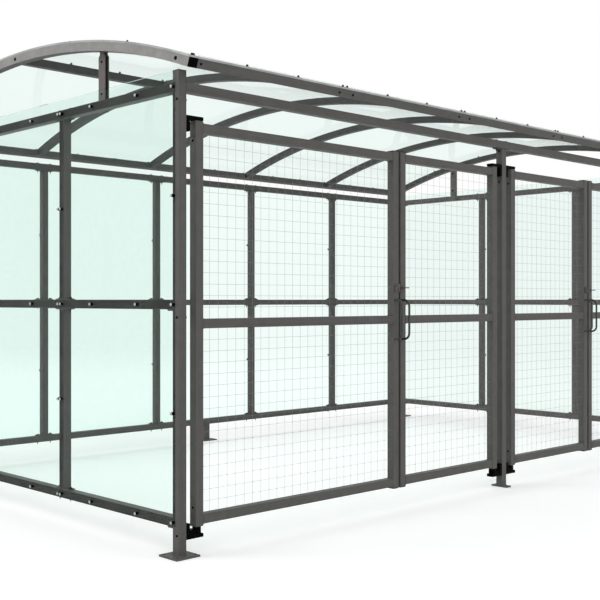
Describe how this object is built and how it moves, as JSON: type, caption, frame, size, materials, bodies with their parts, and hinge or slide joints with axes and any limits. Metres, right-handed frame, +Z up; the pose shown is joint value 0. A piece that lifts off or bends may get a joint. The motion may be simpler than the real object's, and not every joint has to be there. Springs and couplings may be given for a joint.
{
  "type": "bike shelter",
  "caption": "Free-standing bike shelter: dark box-section frame, barrel roof and walls of clear sheet, and mesh gates in pairs along one long side.",
  "frame": {"origin": "on the ground, in the middle of the plan", "axes": "+X along the length, -Y towards the gates, +Z up"},
  "size_m": [4.62, 2.819, 2.2733],
  "materials": {
    "frame": "satin",
    "trim": "satin",
    "black_plastic": "matte",
    "wall_sheet": "gloss",
    "roof_sheet": "gloss",
    "mesh": "galvanised"
  },
  "bodies": {
    "shelter": {"base_plates": "frame", "front_left_post": "frame", "front_middle_post": "frame", "front_right_post": "frame", "rear_left_post": "frame", "rear_middle_leg": "frame", "rear_right_post": "frame", "header_beam": "frame", "end_wall_rails": "frame", "rear_wall_rails": "frame", "end_wall_uprights": "frame", "rear_wall_uprights": "frame", "upright_end_plates": "frame", "rail_seats": "frame", "end_wall_sheets": "wall_sheet", "rear_wall_sheets": "wall_sheet", "front_eave_beam": "frame", "rear_eave_beam": "frame", "ridge_purlins": "frame", "end_arches": "frame", "inner_arches": "frame", "end_arch_trims": "trim", "end_arch_plugs": "black_plastic", "end_struts": "frame", "roof_sheets": "roof_sheet", "top_hinge_brackets": "black_plastic", "bottom_hinge_brackets": "black_plastic"},
    "left_wide_gate": {"left_wide_gate_stiles": "frame", "left_wide_gate_rails": "frame", "left_wide_gate_upper_mesh": "mesh", "left_wide_gate_lower_mesh": "mesh", "left_wide_gate_handle": "frame"},
    "left_narrow_gate": {"left_narrow_gate_stiles": "frame", "left_narrow_gate_rails": "frame", "left_narrow_gate_upper_mesh": "mesh", "left_narrow_gate_lower_mesh": "mesh", "left_narrow_gate_handle": "frame"},
    "right_narrow_gate": {"right_narrow_gate_stiles": "frame", "right_narrow_gate_rails": "frame", "right_narrow_gate_upper_mesh": "mesh", "right_narrow_gate_lower_mesh": "mesh", "right_narrow_gate_handle": "frame"},
    "right_wide_gate": {"right_wide_gate_stiles": "frame", "right_wide_gate_rails": "frame", "right_wide_gate_upper_mesh": "mesh", "right_wide_gate_lower_mesh": "mesh", "right_wide_gate_handle": "frame"}
  },
  "joints": [
    {"name": "left_wide_gate_hinge", "type": "hinge", "parent": "shelter", "child": "left_wide_gate", "pos_m": [-2.162, -1.317, 0.9], "axis": [0, 0, -1], "range_deg": [0, 90]},
    {"name": "left_narrow_gate_hinge", "type": "hinge", "parent": "shelter", "child": "left_narrow_gate", "pos_m": [-0.088, -1.317, 0.9], "axis": [0, 0, 1], "range_deg": [0, 90]},
    {"name": "right_narrow_gate_hinge", "type": "hinge", "parent": "shelter", "child": "right_narrow_gate", "pos_m": [0.088, -1.317, 0.9], "axis": [0, 0, -1], "range_deg": [0, 90]},
    {"name": "right_wide_gate_hinge", "type": "hinge", "parent": "shelter", "child": "right_wide_gate", "pos_m": [2.162, -1.317, 0.9], "axis": [0, 0, 1], "range_deg": [0, 90]}
  ]
}
